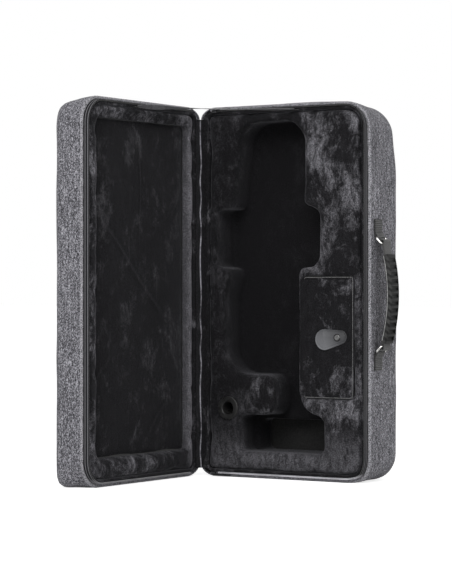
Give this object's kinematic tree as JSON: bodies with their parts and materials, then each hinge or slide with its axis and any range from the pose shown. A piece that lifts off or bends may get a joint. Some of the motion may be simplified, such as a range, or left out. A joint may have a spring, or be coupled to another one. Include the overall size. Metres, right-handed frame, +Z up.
{
  "type": "trumpet case",
  "caption": "Soft-sided instrument case with a zip-round lid, plush-lined foam insert shaped for a trumpet, accessory compartment and side handle, standing open at a right angle.",
  "frame": {"origin": "centre of the base's lower end face, on the surface the case stands on", "axes": "+X from the hinge side to the handle side of the base, +Y from the base's open mouth to its back, +Z up along the case's long sides"},
  "size_m": [0.3689, 0.3818, 0.54],
  "materials": {
    "outer_fabric": "matte",
    "board_foam": "matte",
    "plush": "matte",
    "inner_foam": "matte",
    "zip_tape": "matte",
    "zip_coil": "satin",
    "black_plastic": "gloss",
    "webbing": "matte",
    "ribbon": "satin",
    "bright_metal": "polished",
    "zip_metal": "satin",
    "grip_rubber": "satin",
    "tab_leather": "satin"
  },
  "bodies": {
    "base": {"base_cover": "outer_fabric", "base_board": "board_foam", "base_back_board": "board_foam", "base_lining": "plush", "base_piping": "outer_fabric", "base_zip_tape": "zip_tape", "base_zip_coil": "zip_coil", "insert_upper": "plush", "insert_lower": "plush", "mouthpiece_holder": "black_plastic", "compartment_tray": "board_foam", "back_pocket": "outer_fabric", "pocket_hem_band": "outer_fabric", "handle_tab_upper": "webbing", "handle_tab_lower": "webbing", "stay_anchor_base": "webbing", "hinge_cloth": "plush", "stay_ribbon": "ribbon", "flap_hinge_strip": "plush"},
    "lid": {"lid_cover": "outer_fabric", "lid_board": "board_foam", "lid_back_board": "board_foam", "lid_lining": "plush", "lid_piping": "outer_fabric", "lid_zip_tape": "zip_tape", "lid_zip_coil": "zip_coil", "lid_frame": "plush", "lid_panel": "plush", "lid_foam": "inner_foam", "stay_anchor_lid": "webbing"},
    "flap": {"flap_panel": "plush", "tab_rivet": "bright_metal"},
    "tab": {"pull_tab": "tab_leather"},
    "handle": {"handle_strap": "webbing", "handle_grip": "grip_rubber"},
    "ring_upper": {"ring_upper": "bright_metal"},
    "ring_lower": {"ring_lower": "bright_metal"},
    "slider_top": {"slider_top": "zip_metal"},
    "slider_bottom": {"slider_bottom": "zip_metal"},
    "pull_top": {"pull_top": "zip_metal"},
    "pull_bottom": {"pull_bottom": "zip_metal"}
  },
  "joints": [
    {"name": "lid_hinge", "type": "hinge", "parent": "base", "child": "lid", "pos_m": [-0.14, -0.048, 0.27], "axis": [0, 0, 1], "range_deg": [0, 90], "deforming": ["hinge_cloth", "stay_ribbon"]},
    {"name": "flap_hinge", "type": "hinge", "parent": "base", "child": "flap", "pos_m": [0.0337, -0.0438, 0.205], "axis": [0, 0, 1], "range_deg": [-110, 0], "deforming": ["flap_hinge_strip"]},
    {"name": "tab_swivel", "type": "hinge", "parent": "flap", "child": "tab", "pos_m": [0.09, -0.0435, 0.205], "axis": [0, -1, 0], "range_deg": [-60, 60]},
    {"name": "handle_lift", "type": "slide", "parent": "base", "child": "handle", "axis": [1, 0, 0], "range_m": [0, 0.0025]},
    {"name": "ring_upper_swing", "type": "hinge", "parent": "base", "child": "ring_upper", "pos_m": [0.1444, -0.019, 0.3462], "axis": [0, -1, 0], "range_deg": [0, 21.4]},
    {"name": "ring_lower_swing", "type": "hinge", "parent": "base", "child": "ring_lower", "pos_m": [0.1444, -0.019, 0.185], "axis": [0, 1, 0], "range_deg": [0, 21.4]},
    {"name": "slider_top_slide", "type": "slide", "parent": "base", "child": "slider_top", "axis": [1, 0, 0], "range_m": [0, 0.208]},
    {"name": "slider_bottom_slide", "type": "slide", "parent": "base", "child": "slider_bottom", "axis": [1, 0, 0], "range_m": [0, 0.208]},
    {"name": "pull_top_flip", "type": "hinge", "parent": "slider_top", "child": "pull_top", "pos_m": [-0.114, -0.048, 0.5373], "axis": [0, -1, 0], "range_deg": [0, 170]},
    {"name": "pull_bottom_flip", "type": "hinge", "parent": "slider_bottom", "child": "pull_bottom", "pos_m": [-0.114, -0.048, 0.0027], "axis": [0, 1, 0], "range_deg": [0, 170]}
  ],
  "couplings": [
    {"joint": "ring_upper_swing", "follows": "handle_lift", "rad_per_m": 148.48},
    {"joint": "ring_lower_swing", "follows": "handle_lift", "rad_per_m": 148.48}
  ]
}
